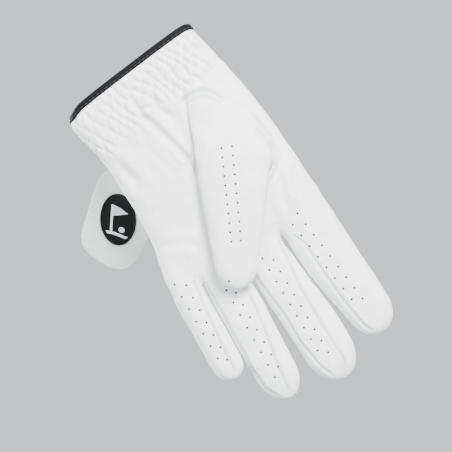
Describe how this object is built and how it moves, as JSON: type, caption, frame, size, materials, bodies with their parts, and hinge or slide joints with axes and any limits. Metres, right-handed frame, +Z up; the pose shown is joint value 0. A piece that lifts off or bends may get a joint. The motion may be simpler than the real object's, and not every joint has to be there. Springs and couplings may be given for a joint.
{
  "type": "golf glove",
  "caption": "Leather golf glove for the left hand, hanging by the back of its wrist with the thumb folded over the palm and the closure tab open.",
  "frame": {"origin": "Middle of the loop patch's outer face, on the back of the wrist.", "axes": "X towards the index-finger side, Z up towards the wrist with the fingers hanging down -Z, and the palm faces -Y."},
  "size_m": [0.1375, 0.0655, 0.2205],
  "materials": {
    "binding": "woven textile",
    "elastic": "ribbed elastic",
    "label": "satin",
    "loop": "brushed loop pile",
    "hook": "moulded hooks",
    "tab_leather": "smooth matt leather",
    "tab_lining": "soft lining",
    "badge_black": "satin moulded rubber",
    "badge_white": "satin",
    "leather": "soft fine-grained leather"
  },
  "bodies": {
    "hand": {"palm_panel": "leather", "back_panel": "leather", "cuff_binding": "binding", "slit_binding": "binding", "wrist_elastic": "elastic", "size_label": "label", "loop_patch": "loop", "tab_anchor": "tab_leather", "thumb_mound": "leather", "index_root_front": "leather", "index_root_back": "leather", "middle_root_front": "leather", "middle_root_back": "leather", "ring_root_front": "leather", "ring_root_back": "leather", "little_root_front": "leather", "little_root_back": "leather", "fourchette_index_middle": "leather", "fourchette_middle_ring": "leather", "fourchette_ring_little": "leather"},
    "index_finger": {"index_front": "leather", "index_back": "leather", "index_side": "leather"},
    "middle_finger": {"middle_front": "leather", "middle_back": "leather", "middle_sides": "leather"},
    "ring_finger": {"ring_front": "leather", "ring_back": "leather", "ring_sides": "leather"},
    "little_finger": {"little_front": "leather", "little_back": "leather", "little_side": "leather"},
    "thumb": {"thumb_front": "leather", "thumb_back": "leather"},
    "tab": {"closure_tab": "tab_leather", "tab_lining": "tab_lining", "hook_pad": "hook", "badge_plate": "badge_black", "badge_rim": "badge_black", "badge_motif": "badge_white"}
  },
  "joints": [
    {"name": "index_bend", "type": "hinge", "parent": "hand", "child": "index_finger", "pos_m": [0.0412, -0.01985, -0.104], "axis": [-1, 0, 0], "range_deg": [0, 85]},
    {"name": "middle_bend", "type": "hinge", "parent": "hand", "child": "middle_finger", "pos_m": [0.0108, -0.01985, -0.106], "axis": [-1, 0, 0], "range_deg": [0, 85]},
    {"name": "ring_bend", "type": "hinge", "parent": "hand", "child": "ring_finger", "pos_m": [-0.0175, -0.01985, -0.106], "axis": [-1, 0, 0], "range_deg": [0, 85]},
    {"name": "little_bend", "type": "hinge", "parent": "hand", "child": "little_finger", "pos_m": [-0.0397, -0.01985, -0.1], "axis": [-1, 0, 0], "range_deg": [0, 85]},
    {"name": "thumb_lift", "type": "hinge", "parent": "hand", "child": "thumb", "pos_m": [0.01655, -0.03435, -0.04081], "axis": [-0.8704, 0, 0.4924], "range_deg": [0, 80]},
    {"name": "tab_hinge", "type": "hinge", "parent": "hand", "child": "tab", "pos_m": [-0.03, 0.0011, -0.008], "axis": [0.3907, 0, -0.9205], "range_deg": [-20, 150]}
  ]
}
